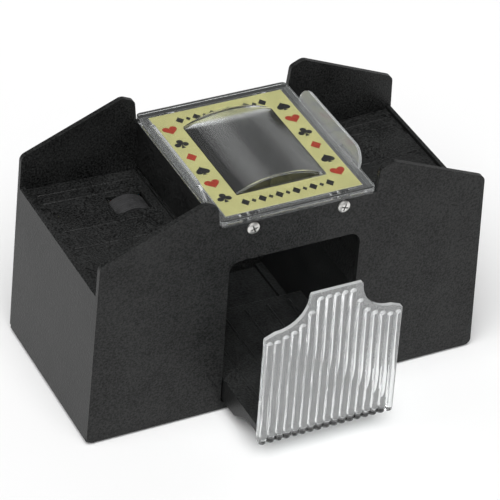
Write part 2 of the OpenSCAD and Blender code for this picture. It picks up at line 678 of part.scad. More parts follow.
// ---- Start button and wiring ----
button_proud = 2.4;
button_face_x = wall_x(button_z) + button_proud;
switch_x = wall_x(button_z) - wall - 9.6;   // outer face of the switch
module start_button() color(rubber) translate([0, button_y, button_z]) rotate([0, 90, 0]) {
    translate([0, 0, wall_x(button_z) - wall - 1.7]) cylinder(d = button_d + 3, h = 1.2);
    translate([0, 0, wall_x(button_z) - wall - 0.6])
        cylinder(d = button_d, h = wall + 0.6 + button_proud - 0.8);
    translate([0, 0, button_face_x - 0.8]) cylinder(r1 = button_d / 2, r2 = button_d / 2 - 0.8, h = 0.8);
    translate([0, 0, switch_x + 2.2]) cylinder(r = 2, h = wall_x(button_z) - wall - 1.7 - switch_x - 2.1);
}
module switch_body() color([0.75, 0.1, 0.08]) {
    box([switch_x - 8, button_y - 6, button_z - 8], [switch_x, button_y + 6, button_z + 8]);
    // the plunger that the button pushes
    translate([switch_x - 0.5, button_y, button_z]) rotate([0, 90, 0]) cylinder(r = 1.5, h = 1.1);
}
module switch_terminals() color(brass) for (s = [-1, 1]) translate([0, button_y, button_z + s * 5])
    box([switch_x - 13, -1.5, -0.3], [switch_x - 8.02, 1.5, 0.3]);

wire_r = 0.7;
wire_sides = 10;
wire_z = box_top + 1.2;
motor_back_y = bracket_y - motor_l - 3.8;

// The first ring of a wire, then that ring carried along each stretch to the mitre plane of the next bend
function first_ring(pts) =
    let (u = unit(pts[1] - pts[0]), a = unit(cross(u, [0, 0, 1])), b = cross(u, a))
    [for (k = [0:wire_sides - 1]) let (t = 360 * k / wire_sides) pts[0] + wire_r * (cos(t) * a - sin(t) * b)];
function carried(pts, ring, i) =
    let (
        u = unit(pts[i] - pts[i - 1]),
        v = i < len(pts) - 1 ? unit(pts[i + 1] - pts[i]) : u,
        next = [for (p = ring) p + u * ((pts[i] - p) * (u + v)) / (u * (u + v))]
    )
    i == len(pts) - 1 ? [next] : concat([next], carried(pts, next, i + 1));
module wire(pts) tube(concat([first_ring(pts)], carried(pts, first_ring(pts), 1)));

module wire_harness() color([0.7, 0.08, 0.06]) {
    // switch to right motor
    wire([
        [switch_x - 13.8, button_y, button_z + 5],
        [switch_x - 16, button_y + 6, button_z + 3],
        [motor[0] + 3, motor_back_y, motor[1] + 4]
    ]);
    // switch to right battery box
    wire([
        [switch_x - 13.8, button_y, button_z - 5],
        [switch_x - 16, button_y, wire_z + 6],
        [box_x1 - 12, -box_w / 2 - 2, wire_z + 2],
        [box_x1 - 12, -box_w / 2 - 2, base_top + 8]
    ]);
    // left motor to left battery box
    wire([
        [-motor[0] + 3, motor_back_y, motor[1] + 4],
        [-60, -box_w / 2 - 3, wire_z + 4],
        [-60, -box_w / 2 - 3, base_top + 8]
    ]);
}

placed() housing_shell();
placed() base_plate();
placed() rubber_feet();
placed() base_screws();
placed() left() hopper_floor();  // hopper_floor_left
placed() hopper_floor();  // hopper_floor_right
placed() left() chute();  // chute_left
placed() chute();  // chute_right
placed() left() gate();  // gate_left
placed() gate();  // gate_right
placed() left() retard_pad();  // retard_pad_left
placed() retard_pad();  // retard_pad_right
placed() top_cover();
placed() label_sheet();
placed() front_cover_screws();
placed() rear_cover_screws();
placed() tray_deck();
placed() tray_front();
placed() tray_screws();
placed() left() drive_bracket();  // drive_bracket_left
placed() drive_bracket();  // drive_bracket_right
placed() left() bearing_plate();  // bearing_plate_left
placed() bearing_plate();  // bearing_plate_right
placed() left() shaft_bushes();  // shaft_bushes_left
placed() shaft_bushes();  // shaft_bushes_right
placed() left() motor_can();  // motor_can_left
placed() motor_can();  // motor_can_right
placed() left() motor_cap();  // motor_cap_left
placed() motor_cap();  // motor_cap_right
placed() left() idler_axle();  // idler_axle_left
placed() idler_axle();  // idler_axle_right
placed() left() motor_shaft();  // motor_shaft_left
placed() motor_shaft();  // motor_shaft_right
placed() left() motor_pinion();  // motor_pinion_left
placed() motor_pinion();  // motor_pinion_right
placed() left() idler_gear();  // idler_gear_left
placed() idler_gear();  // idler_gear_right
placed() left() feed_shaft();  // feed_shaft_left
placed() feed_shaft();  // feed_shaft_right
placed() left() feed_gear();  // feed_gear_left
placed() feed_gear();  // feed_gear_right
placed() left() roller_hubs();  // roller_hubs_left
placed() roller_hubs();  // roller_hubs_right
placed() left() roller_tyres();  // roller_tyres_left
placed() roller_tyres();  // roller_tyres_right
placed() left() battery_box();  // battery_box_left
placed() battery_box();  // battery_box_right
placed() left() battery_door();  // battery_door_left
placed() battery_door();  // battery_door_right
placed() left() cells();  // cells_left
placed() cells();  // cells_right
placed() left() contact_springs();  // contact_springs_left
placed() contact_springs();  // contact_springs_right
placed() left() contact_plates();  // contact_plates_left
placed() contact_plates();  // contact_plates_right
placed() start_button();
placed() switch_body();
placed() switch_terminals();
placed() wire_harness();
placed() drive_screws();
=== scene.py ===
"""The card shuffler's looks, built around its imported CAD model.

Everything is in metres, in the row frame: X is the long way, -Y is the front and +Z is up.
"""

import json
import math

import bmesh
import bpy
from mathutils import Matrix, Vector
from mathutils.bvhtree import BVHTree


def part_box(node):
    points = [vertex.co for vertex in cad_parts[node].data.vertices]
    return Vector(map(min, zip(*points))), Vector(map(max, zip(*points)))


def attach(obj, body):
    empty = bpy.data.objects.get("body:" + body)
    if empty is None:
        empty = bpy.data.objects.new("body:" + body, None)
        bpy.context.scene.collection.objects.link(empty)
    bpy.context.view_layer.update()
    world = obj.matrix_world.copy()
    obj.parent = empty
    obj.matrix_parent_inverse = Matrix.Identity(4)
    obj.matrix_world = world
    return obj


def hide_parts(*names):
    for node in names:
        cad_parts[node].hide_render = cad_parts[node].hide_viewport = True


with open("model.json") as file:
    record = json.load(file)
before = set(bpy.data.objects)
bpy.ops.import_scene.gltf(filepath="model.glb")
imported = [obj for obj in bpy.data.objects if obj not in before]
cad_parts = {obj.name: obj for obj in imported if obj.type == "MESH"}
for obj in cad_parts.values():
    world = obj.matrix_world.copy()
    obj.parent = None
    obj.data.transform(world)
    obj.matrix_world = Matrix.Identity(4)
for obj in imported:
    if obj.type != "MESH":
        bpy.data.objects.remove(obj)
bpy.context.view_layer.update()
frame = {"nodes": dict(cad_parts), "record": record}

MM = 0.001
SLOT_OF = {s["node"]: s["material_slot"] for s in frame["record"]["subparts"]}
BODY_OF = {
    node: body
    for body, nodes in frame["record"]["behaviour"]["bodies"].items()
    for node in nodes
}
SIDES = {"left": -1, "right": 1}


# ---- Camera, light and floor ----

AZIMUTH = math.radians(28.4)  # the camera stands to the left of the front
ELEVATION = math.radians(36.3)
ROLL = math.radians(4.2)
DISTANCE = 1.385
TARGET = Vector((0.0020, 0.0218, 0.0530))
LENS_MM = 205.0
SENSOR_MM = 36.0
NEAREST = 0.1
FLOOR_HALF = 30.0


def link(obj):
    bpy.context.scene.collection.objects.link(obj)
    return obj


def make_camera():
    back = Vector((
        -math.sin(AZIMUTH) * math.cos(ELEVATION),
        -math.cos(AZIMUTH) * math.cos(ELEVATION),
        math.sin(ELEVATION),
    ))
    camera = link(bpy.data.objects.new("camera", bpy.data.cameras.new("camera")))
    camera.data.lens = LENS_MM
    camera.data.sensor_width = SENSOR_MM
    camera.data.clip_start = NEAREST
    camera.location = TARGET + back * DISTANCE
    turn = (-back).to_track_quat("-Z", "Y").to_matrix()
    camera.rotation_euler = (turn @ Matrix.Rotation(ROLL, 3, "Z")).to_euler()
    bpy.context.scene.camera = camera


def aim(obj, place, target):
    """Stand a light at place, and turn it to target."""
    obj.location = place
    obj.rotation_euler = (target - Vector(place)).to_track_quat("-Z", "Y").to_euler()


def make_sky_light(name, direction, spread, strength):
    """Even light from a soft patch of sky, spread degrees across."""
    light = bpy.data.lights.new(name, "SUN")
    light.angle = math.radians(spread)
    light.energy = strength
    aim(link(bpy.data.objects.new(name, light)), direction, Vector((0, 0, 0)))


def make_panel_light(name, place, size, watts):
    """A round panel that faces the camera's target, size metres across."""
    light = bpy.data.lights.new(name, "AREA")
    light.shape = "DISK"
    light.size = size
    light.energy = watts
    aim(link(bpy.data.objects.new(name, light)), place, TARGET)


def make_world(strength):
    world = bpy.data.worlds.new("studio")
    bpy.context.scene.world = world
    world.use_nodes = True
    background = world.node_tree.nodes["Background"]
    background.inputs["Color"].default_value = (1.0, 1.0, 1.0, 1.0)
    background.inputs["Strength"].default_value = strength


def make_floor(material):
    mesh = bpy.data.meshes.new("floor")
    h = FLOOR_HALF
    mesh.from_pydata([(-h, -h, 0), (h, -h, 0), (h, h, 0), (-h, h, 0)], [], [(0, 1, 2, 3)])
    mesh.materials.append(material)
    link(bpy.data.objects.new("floor", mesh))


# ---- Materials ----

NOISE_LOW, NOISE_HIGH = 0.3, 0.7  # most values of a noise texture lie between these


class Paint:
    """A material being made: one Principled shader and the nodes that feed it."""

    def __init__(self, name, **sockets):
        """Sockets are the shader's inputs, with _ for each space in their names."""
        self.material = bpy.data.materials.new(name)
        self.material.use_nodes = True
        self.tree = self.material.node_tree
        self.shader = self.tree.nodes["Principled BSDF"]
        self.place = self.tree.nodes.new("ShaderNodeTexCoord").outputs["Object"]
        for socket, value in sockets.items():
            self.set(socket.replace("_", " "), value)

    def set(self, socket, value):
        """Set a shader input to a number or a colour, or link a node's output to it."""
        if isinstance(value, bpy.types.NodeSocket):
            self.tree.links.new(value, self.shader.inputs[socket])
        else:
            if isinstance(value, tuple) and len(value) == 3:
                value = (*value, 1.0)
            self.shader.inputs[socket].default_value = value

    def noise(self, grain, detail=2.0, stretch=(1.0, 1.0, 1.0)):
        """Noise with features about grain metres across, times stretch along each axis."""
        spread = self.tree.nodes.new("ShaderNodeMapping")
        spread.inputs["Scale"].default_value = [1 / (grain * s) for s in stretch]
        self.tree.links.new(self.place, spread.inputs["Vector"])
        noise = self.tree.nodes.new("ShaderNodeTexNoise")
        noise.inputs["Scale"].default_value = 1.0
        noise.inputs["Detail"].default_value = detail
        self.tree.links.new(spread.outputs["Vector"], noise.inputs["Vector"])
        return noise.outputs["Fac"]

    def span(self, factor, low, high):
        """A number between low and high as factor goes over its usual range."""
        span = self.tree.nodes.new("ShaderNodeMapRange")
        span.inputs["From Min"].default_value = NOISE_LOW
        span.inputs["From Max"].default_value = NOISE_HIGH
        span.inputs["To Min"].default_value = low
        span.inputs["To Max"].default_value = high
        self.tree.links.new(factor, span.inputs["Value"])
        return span.outputs["Result"]

    def sum(self, first, second):
        add = self.tree.nodes.new("ShaderNodeMath")
        self.tree.links.new(first, add.inputs[0])
        self.tree.links.new(second, add.inputs[1])
        return add.outputs["Value"]

    def between(self, factor, low, high):
        """A colour between low and high as factor goes over its usual range."""
        ramp = self.tree.nodes.new("ShaderNodeValToRGB")
        ramp.color_ramp.elements[0].position = NOISE_LOW
        ramp.color_ramp.elements[1].position = NOISE_HIGH
        ramp.color_ramp.elements[0].color = (*low, 1.0)
        ramp.color_ramp.elements[1].color = (*high, 1.0)
        self.tree.links.new(factor, ramp.inputs["Fac"])
        return ramp.outputs["Color"]

    def bump(self, height, depth):
        """Relief of depth metres."""
        bump = self.tree.nodes.new("ShaderNodeBump")
        bump.inputs["Distance"].default_value = depth
        self.tree.links.new(height, bump.inputs["Height"])
        self.set("Normal", bump.outputs["Normal"])


def scaled(colour, share):
    return tuple(c * share for c in colour)


def textured_plastic(name, colour, roughness, grain=0.9 * MM, depth=0.16 * MM):
    """Moulded ABS with a fine spark-eroded texture and slightly uneven gloss, its colour darker in
    the texture's pits as painted shade, over a random cloud of tone.
    """
    paint = Paint(name, IOR=1.5, Specular_IOR_Level=0.215)
    pits = paint.noise(grain, detail=2.0)
    cloud = paint.span(paint.noise(18 * MM, detail=3.0), low=-0.06, high=0.06)
    pit_shade_and_tone = paint.sum(pits, cloud)
    # Painted shade in the pits: the base colour follows the bump's height and is darker where it
    # sinks. A random cloud of tone is added on top.
    paint.set("Base Color", paint.between(pit_shade_and_tone, scaled(colour, 0.1), scaled(colour, 3.0)))
    paint.set("Roughness", paint.span(pit_shade_and_tone, roughness - 0.08, roughness + 0.08))
    paint.bump(pits, depth)
    return paint.material


STYRENE_TINT = (0.97, 0.985, 0.985)
RIPPLE = 0.002 * MM  # depth of the faint unevenness of a clear moulding


def clear_plastic(name, haze=0.0, roughness=0.03, brushed=0.0):
    """Clear styrene. Lamps shine straight through it, as through any thin moulding.

    haze is the share of light that it scatters, and brushed the depth of fine marks along Y.
    """
    paint = Paint(name, IOR=1.57, Transmission_Weight=1.0 - haze)
    flow = paint.noise(25 * MM, detail=1.0)
    if brushed:
        marks = paint.noise(0.5 * MM, detail=2.0, stretch=(1.0, 60.0, 1.0))
    else:
        marks = paint.noise(6 * MM, detail=2.0)
    paint.set("Base Color", paint.between(flow, scaled(STYRENE_TINT, 0.98), STYRENE_TINT))
    paint.set("Roughness", paint.span(marks, roughness * 0.8, roughness * 1.2))
    paint.bump(marks, brushed or RIPPLE)
    nodes, links = paint.tree.nodes, paint.tree.links
    path = nodes.new("ShaderNodeLightPath")
    through = nodes.new("ShaderNodeBsdfTransparent")
    through.inputs["Color"].default_value = (*STYRENE_TINT, 1.0)
    mix = nodes.new("ShaderNodeMixShader")
    links.new(path.outputs["Is Shadow Ray"], mix.inputs[0])
    links.new(paint.shader.outputs[0], mix.inputs[1])
    links.new(through.outputs[0], mix.inputs[2])
    links.new(mix.outputs[0], nodes["Material Output"].inputs["Surface"])
    return paint.material


def metal(name, colour, roughness, stretch=(1.0, 1.0, 1.0)):
    """Plated or turned metal with fine marks, drawn out by stretch."""
    paint = Paint(name, Metallic=1.0)
    marks = paint.noise(0.25 * MM, detail=3.0, stretch=stretch)
    paint.set("Base Color", paint.between(marks, scaled(colour, 0.86), colour))
    paint.set("Roughness", paint.span(marks, roughness - 0.07, roughness + 0.07))
    paint.bump(marks, 0.004 * MM)
    return paint.material


def rubber(name, colour):
    """Dull black rubber with a little dust on it."""
    paint = Paint(name, IOR=1.5)
    dust = paint.noise(3 * MM, detail=4.0)
    skin = paint.noise(0.3 * MM, detail=3.0)
    paint.set("Base Color", paint.between(dust, scaled(colour, 0.8), scaled(colour, 1.35)))
    paint.set("Roughness", paint.span(dust, low=0.62, high=0.82))
    paint.bump(skin, 0.03 * MM)
    return paint.material


def smooth_plastic(name, colour, roughness, subsurface=0.0):
    """Glossy moulded plastic with slightly uneven colour and gloss."""
    paint = Paint(name, IOR=1.5, Subsurface_Weight=subsurface, Subsurface_Scale=1.5 * MM)
    cloud = paint.noise(8 * MM, detail=3.0)
    paint.set("Base Color", paint.between(cloud, scaled(colour, 0.9), colour))
    paint.set("Roughness", paint.span(paint.noise(1.2 * MM), roughness - 0.05, roughness + 0.08))
    paint.bump(paint.noise(0.8 * MM), 0.006 * MM)
    return paint.material


def print_ink(name, colour):
    """Ink or card stock: fine paper fibre under a satin print."""
    paint = Paint(name, IOR=1.45, Specular_IOR_Level=0.25)
    fibre = paint.noise(0.35 * MM, detail=4.0, stretch=(1.0, 2.5, 1.0))
    cloud = paint.noise(9 * MM, detail=2.0)
    paint.set("Base Color", paint.between(cloud, scaled(colour, 0.93), scaled(colour, 1.03)))
    paint.set("Roughness", paint.span(fibre, low=0.38, high=0.5))
    paint.bump(fibre, 0.004 * MM)
    return paint.material


def floor_paint():
    paint = Paint("floor", Roughness=0.9)
    tone = paint.noise(400 * MM, detail=1.0)
    paint.set("Base Color", paint.between(tone, (0.9, 0.9, 0.9), (0.92, 0.92, 0.92)))
    return paint.material


PAINTS = {
    "black_abs": textured_plastic("black_abs", (0.0095, 0.0098, 0.0097), 0.42),
    "clear_styrene": clear_plastic("clear_styrene"),
    "label_card": print_ink("label_card", (0.293, 0.276, 0.118)),
    "nickel": metal("nickel", (0.88, 0.87, 0.84), 0.38),
    "rubber": rubber("rubber", (0.022, 0.022, 0.023)),
    "steel": metal("steel", (0.62, 0.62, 0.63), 0.32, (1.0, 8.0, 1.0)),
    "brass": metal("brass", (0.72, 0.52, 0.24), 0.3),
    "nylon": smooth_plastic("nylon", (0.74, 0.72, 0.65), 0.42, 0.15),
    "cell_sleeve": smooth_plastic("cell_sleeve", (0.02, 0.021, 0.024), 0.26),
    "button_abs": smooth_plastic("button_abs", (0.03, 0.03, 0.032), 0.3),
    "switch_resin": smooth_plastic("switch_resin", (0.38, 0.03, 0.02), 0.4),
    "wire_pvc": smooth_plastic("wire_pvc", (0.45, 0.02, 0.015), 0.35),
}
RIM_STYRENE = clear_plastic("rim_styrene", haze=0.04)
GUIDE_STYRENE = clear_plastic("guide_styrene", haze=0.14)
FROSTED_EDGE = clear_plastic("frosted_edge", haze=0.65, roughness=0.12)
MILKY_EDGE = clear_plastic("milky_edge", haze=0.36, roughness=0.12)
DOME_STYRENE = clear_plastic("dome_styrene", haze=0.015, roughness=0.22, brushed=0.0024 * MM)
FLUTED_STYRENE = clear_plastic("fluted_styrene", haze=0.12)
CELL_COPPER = smooth_plastic("cell_copper", (0.42, 0.17, 0.06), 0.24)
# Painted shade: a dull, near-black steel for the screws' cross recesses, where shade falls.
RECESS_PAINTED_SHADE = metal("recess_painted_shade", (0.03, 0.03, 0.03), 0.6)
RED_INK = print_ink("red_ink", (0.205, 0.016, 0.004))
BLACK_INK = print_ink("black_ink", (0.0035, 0.0035, 0.004))


# ---- CAD nodes, and copies of them with softened edges ----

ROUND_FROM = 32.0  # edges that turn by more degrees than this are rounded
CRISP_FROM = 24.0  # edges that turn by less than this are smooth
TURNED_CRISP_FROM = 30.0  # the same, on turned pieces
FLAT_WITHIN = 0.6  # faces that differ by fewer degrees than this are merged
WELD = 0.0005 * MM
BEVEL_SEGMENTS = 2


def paint_nodes():
    for name, node in frame["nodes"].items():
        node.data.materials.clear()
        node.data.materials.append(PAINTS[SLOT_OF[name]])


def finished(name, mesh, node):
    """A piece that stands for a CAD node."""
    piece = link(bpy.data.objects.new(name, mesh))
    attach(piece, BODY_OF[node])
    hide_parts(node)
    return piece


def smooth_faces(bm, crease):
    """Smooth shading, apart from open edges and edges that turn by crease degrees or more."""
    for face in bm.faces:
        face.smooth = True
    for edge in bm.edges:
        edge.smooth = len(edge.link_faces) == 2 and edge.calc_face_angle() < math.radians(crease)


def softened(node, radius):
    """A copy of a CAD node, which stands for it, with its edges rounded."""
    mesh = frame["nodes"][node].data.copy()
    bm = bmesh.new()
    bm.from_mesh(mesh)
    bmesh.ops.remove_doubles(bm, verts=bm.verts, dist=WELD)
    flat = math.radians(FLAT_WITHIN)
    bmesh.ops.dissolve_limit(bm, angle_limit=flat, verts=bm.verts, edges=bm.edges)
    smooth_faces(bm, CRISP_FROM)
    bm.to_mesh(mesh)
    bm.free()
    if "custom_normal" in mesh.attributes:
        mesh.attributes.remove(mesh.attributes["custom_normal"])
    piece = finished(f"{node}_finished", mesh, node)
    bevel = piece.modifiers.new("edges", "BEVEL")
    bevel.limit_method = "ANGLE"
    bevel.angle_limit = math.radians(ROUND_FROM)
    bevel.width = radius
    bevel.segments = BEVEL_SEGMENTS
    bevel.use_clamp_overlap = True
    bevel.harden_normals = True
    return piece


def zone(piece, material, test):
    """Give another material to the faces whose centre and normal pass the test."""
    mesh = piece.data
    mesh.materials.append(material)
    index = len(mesh.materials) - 1
    for face in mesh.polygons:
        if test(face.center, face.normal):
            face.material_index = index


def frost_edges(piece, material):
    """Softened edges of a clear moulding catch the light."""
    piece.data.materials.append(material)
    piece.modifiers["edges"].material = len(piece.data.materials) - 1


ON_PLANE = 0.0001 * MM


def cut_along(mesh, places):
    """Cut a mesh's faces by planes, each a point and its normal."""
    bm = bmesh.new()
    bm.from_mesh(mesh)
    for point, normal in places:
        geometry = [*bm.verts, *bm.edges, *bm.faces]
        bmesh.ops.bisect_plane(bm, geom=geometry, dist=ON_PLANE, plane_co=point, plane_no=normal)
    bm.to_mesh(mesh)
    bm.free()


COVER_EDGE = 0.35 * MM
PLATE_T = 1.45 * MM  # of the cover, over the label
DOME_INSET = 8 * MM  # from the label's ends to the dome
DOME_FROM = 0.1 * MM  # heights above the plate
GUIDE_FROM = 1 * MM
DOME_FACING_UP = 0.5  # least share of a dome face's normal that points up or down


def finish_cover():
    """The clear cover: hazier round the label than over it, and faintly brushed on its dome."""
    cover = softened("top_cover", COVER_EDGE)
    low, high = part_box("label_sheet")
    middle = (low + high) / 2
    plate_top = high.z + PLATE_T
    sides = (Vector((1, 0, 0)), Vector((0, 1, 0)))
    cut_along(cover.data, [(corner, axis) for corner in (low, high) for axis in sides])

    def round_label(at, normal):
        return abs(at.x) > high.x or abs(at.y - middle.y) > high.y - middle.y

    def on_guide(at, normal):
        return abs(at.x) > high.x and at.z > plate_top + GUIDE_FROM

    def on_dome(at, normal):
        above_plate = abs(at.x) < high.x - DOME_INSET and at.z > plate_top + DOME_FROM
        return above_plate and abs(normal.z) > DOME_FACING_UP

    zone(cover, RIM_STYRENE, round_label)
    zone(cover, GUIDE_STYRENE, on_guide)
    zone(cover, DOME_STYRENE, on_dome)
    frost_edges(cover, FROSTED_EDGE)


TRAY_FRONT_EDGE = 0.25 * MM
FOOT_H = 2.2 * MM  # the clear band at the foot of the tray's front
UPPER_EDGE_FROM = 10 * MM  # height above the foot
EDGE_FACING_UP = 0.3  # least share of an upper edge's normal that points up


def finish_tray_front():
    """The tray's fluted front: milky down to its foot, with an upper edge that gathers light."""
    front = softened("tray_front", TRAY_FRONT_EDGE)
    front.data.materials[0] = FLUTED_STYRENE
    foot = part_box("tray_front")[0].z
    foot_top = foot + FOOT_H
    cut_along(front.data, [(Vector((0, 0, foot_top)), Vector((0, 0, 1)))])

    def on_upper_edge(at, normal):
        return normal.z > EDGE_FACING_UP and at.z > foot + UPPER_EDGE_FROM

    zone(front, MILKY_EDGE, on_upper_edge)
    zone(front, PAINTS["clear_styrene"], lambda at, normal: at.z < foot_top)


SCREWS = {  # height of the heads, and the direction that they face
    "front_cover_screws": (1.6 * MM, Vector((0, -1, 0))),
    "rear_cover_screws": (1.6 * MM, Vector((0, 1, 0))),
    "base_screws": (1.35 * MM, Vector((0, 0, -1))),
    "tray_screws": (1.2 * MM, Vector((0, 0, -1))),
}
SCREW_EDGE = 0.1 * MM
RECESS_TOP, RECESS_BOTTOM = 0.2, 0.6  # depths of the recess's faces, as shares of the head
UPRIGHT = 0.5  # a recess's walls face out by less than this share, and its floor by more than FLAT
FLAT = 0.995


def finish_screws(node):
    """Screws with softened heads, whose cross recesses get a dull, near-black steel as painted
    shade.
    """
    head, out = SCREWS[node]
    screws = softened(node, SCREW_EDGE)
    top = max(v.co.dot(out) for v in screws.data.vertices)

    def gets_recess_painted_shade(at, normal):
        depth = top - at.dot(out)
        facing = abs(normal.dot(out))
        inside = RECESS_TOP * head < depth < RECESS_BOTTOM * head
        return inside and (facing < UPRIGHT or facing > FLAT)

    # Painted shade: the faces down in each cross recess get the near-black steel.
    zone(screws, RECESS_PAINTED_SHADE, gets_recess_painted_shade)


# ---- Turned pieces ----

TURNED_SIDES = 64


def turn(bm, profile, centre, axis):
    """Turn a profile of (distance along the axis, radius, material index) about the axis."""
    across = axis.orthogonal().normalized()
    up = axis.cross(across)
    rings = []
    for along, radius, _ in profile:
        ring = []
        for i in range(TURNED_SIDES if radius > 0 else 1):
            a = 2 * math.pi * i / TURNED_SIDES
            spoke = across * math.cos(a) + up * math.sin(a)
            ring.append(bm.verts.new(centre + axis * along + spoke * radius))
        rings.append(ring)
    for (first, second), (_, _, index) in zip(zip(rings, rings[1:]), profile[1:]):
        for i in range(TURNED_SIDES):
            j = (i + 1) % TURNED_SIDES
            corners = [first[i % len(first)], first[j % len(first)]]
            corners += [second[j % len(second)], second[i % len(second)]]
            face = bm.faces.new(list(dict.fromkeys(corners)))
            face.material_index = index


def turned_mesh(name, bm, materials):
    """The mesh of turned shapes, whose faces hold the indices of materials."""
    bmesh.ops.recalc_face_normals(bm, faces=bm.faces)
    smooth_faces(bm, TURNED_CRISP_FROM)
    mesh = bpy.data.meshes.new(name)
    bm.to_mesh(mesh)
    bm.free()
    for material in materials:
        mesh.materials.append(material)
    return mesh


STEM_R = 2 * MM
FLANGE_T = 1.2 * MM
FLANGE_LIP = 1.5 * MM  # how far the flange stands out round the cap
CAP_H = 6.7 * MM  # from the flange's back to the face
CAP_RIM = 0.9 * MM  # radius of the face's outer edge
CAP_RIM_STEPS = 5
DISH_DEPTH = 0.75 * MM
DISH_STEPS = 8


def make_button():
    """The start button: a dished face on a flanged cap, with the stem that works the switch."""
    low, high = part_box("start_button")
    flange = (high.z - low.z) / 2
    cap = flange - FLANGE_LIP
    face = high.x - low.x
    back = face - CAP_H
    front = back + FLANGE_T
    profile = [
        (0, 0, 0), (0, STEM_R, 0), (back, STEM_R, 0),
        (back, flange, 0), (front, flange, 0), (front, cap, 0),
    ]
    for i in range(CAP_RIM_STEPS + 1):
        a = math.radians(90 * i / CAP_RIM_STEPS)
        along = face - CAP_RIM * (1 - math.sin(a))
        profile.append((along, cap - CAP_RIM * (1 - math.cos(a)), 0))
    dish = cap - 2 * CAP_RIM
    for i in range(DISH_STEPS + 1):
        share = 1 - i / DISH_STEPS
        profile.append((face - DISH_DEPTH * (1 - share ** 2), dish * share, 0))
    bm = bmesh.new()
    stem_end = Vector((low.x, (low.y + high.y) / 2, (low.z + high.z) / 2))
    turn(bm, profile, stem_end, Vector((1, 0, 0)))
    mesh = turned_mesh("start_button", bm, [PAINTS["button_abs"]])
    finished("start_button_finished", mesh, "start_button")


CELL_L = 46.8 * MM
NUB_L = 1.8 * MM
NUB_R = 3.2 * MM
SLEEVE_SHARE = 0.7  # of the cell's length, and the rest is the copper band
SHOULDER = 0.9 * MM  # length of the rounding at each end of the sleeve
SHOULDER_MIDDLE = 0.25 * MM
SHOULDER_IN = 0.3 * MM
SLEEVE_LIP = 1.2 * MM  # how far the sleeve folds over the ends
GROOVE_DEPTH = 0.35 * MM  # of the groove round the flat end
RECESS_DEPTH = 0.5 * MM  # of the ring round the nub


def cell_profile(radius):
    """A C cell from its flat end to its nub: steel ends, a dark sleeve and a copper band."""
    sleeve, copper, steel = 0, 1, 2
    tip = CELL_L + NUB_L
    return [
        (0, 0, steel),
        (0, radius - 3.4 * MM, steel),
        (GROOVE_DEPTH, radius - 2.8 * MM, steel),
        (GROOVE_DEPTH, radius - 1.6 * MM, steel),
        (0, radius - SLEEVE_LIP, sleeve),
        (SHOULDER_MIDDLE, radius - SHOULDER_IN, sleeve),
        (SHOULDER, radius, sleeve),
        (CELL_L * SLEEVE_SHARE, radius, sleeve),
        (CELL_L - SHOULDER, radius, copper),
        (CELL_L - SHOULDER_MIDDLE, radius - SHOULDER_IN, copper),
        (CELL_L, radius - SLEEVE_LIP, copper),
        (CELL_L - RECESS_DEPTH, radius - 1.8 * MM, steel),
        (CELL_L - RECESS_DEPTH, NUB_R + 1.2 * MM, steel),
        (CELL_L, NUB_R, steel),
        (tip - 0.3 * MM, NUB_R, steel),
        (tip, NUB_R - 0.4 * MM, steel),
        (tip, 0, steel),
    ]


def finish_cells(side):
    """The two cells of one battery box, which lie side by side with their nubs opposite ways."""
    node = f"cells_{side}"
    low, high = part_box(node)
    radius = (high.z - low.z) / 2
    outward = SIDES[side]
    outer, inner = (high.x, low.x) if outward > 0 else (low.x, high.x)
    bm = bmesh.new()
    for y, nub_x, way in ((low.y + radius, outer, outward), (high.y - radius, inner, -outward)):
        flat_end = Vector((nub_x - way * (CELL_L + NUB_L), y, low.z + radius))
        turn(bm, cell_profile(radius), flat_end, Vector((way, 0, 0)))
    materials = [PAINTS["cell_sleeve"], CELL_COPPER, PAINTS["steel"]]
    finished(f"{node}_finished", turned_mesh(node, bm, materials), node)


# ---- Ribs that the cards slide on ----

RIB_W = 1.6 * MM
RIB_H = 0.45 * MM
RIB_SINK = 0.15 * MM
RIB_SEGMENTS = 6
RIB_END_STEPS = 4
RIB_END_SHARE = 0.05  # of the rib's section, at its very ends


def rib(bm, start, end):
    """A low rib with a rounded back and rounded ends, along a line on a surface."""
    along = (end - start).normalized()
    across = along.cross(Vector((0, 0, 1))).normalized()
    up = across.cross(along)
    length = (end - start).length
    stations = []
    for i in range(RIB_END_STEPS + 1):
        stations.append(RIB_W / 2 * (1 - math.cos(math.radians(90 * i / RIB_END_STEPS))))
    stations += [length - s for s in reversed(stations)]
    rings = []
    for s in stations:
        near = min(s, length - s, RIB_W / 2) / (RIB_W / 2)
        share = max(math.sqrt(1 - (1 - near) ** 2), RIB_END_SHARE)
        centre = start + along * s - up * RIB_SINK
        ring = []
        for i in range(RIB_SEGMENTS + 1):
            a = math.pi * i / RIB_SEGMENTS
            side = across * (math.cos(a) * RIB_W / 2 * share)
            rise = up * (math.sin(a) * (RIB_H + RIB_SINK) * share)
            ring.append(bm.verts.new(centre + side + rise))
        rings.append(ring)
    for first, second in zip(rings, rings[1:]):
        for i in range(RIB_SEGMENTS + 1):
            j = (i + 1) % (RIB_SEGMENTS + 1)
            bm.faces.new((first[i], first[j], second[j], second[i]))
    bm.faces.new(rings[0])
    bm.faces.new(rings[-1])


HIGH_ABOVE = 1.0
HOPPER_RIB_YS = (-38, -31, -7, 7, 31, 38)  # mm from the middle of the hopper's floor
HOPPER_RIB_INSET = 3 * MM
DECK_RIB_XS = (-24, -12, 0, 12, 24)  # mm
DECK_RIB_INSET = 4 * MM


def surface_under(node):
    """A function that finds the point on a CAD node's top surface at (x, y)."""
    mesh = frame["nodes"][node].data
    tree = BVHTree.FromPolygons([v.co for v in mesh.vertices], [p.vertices for p in mesh.polygons])

    def on_top(x, y):
        return tree.ray_cast(Vector((x, y, HIGH_ABOVE)), Vector((0, 0, -1)))[0]

    return on_top


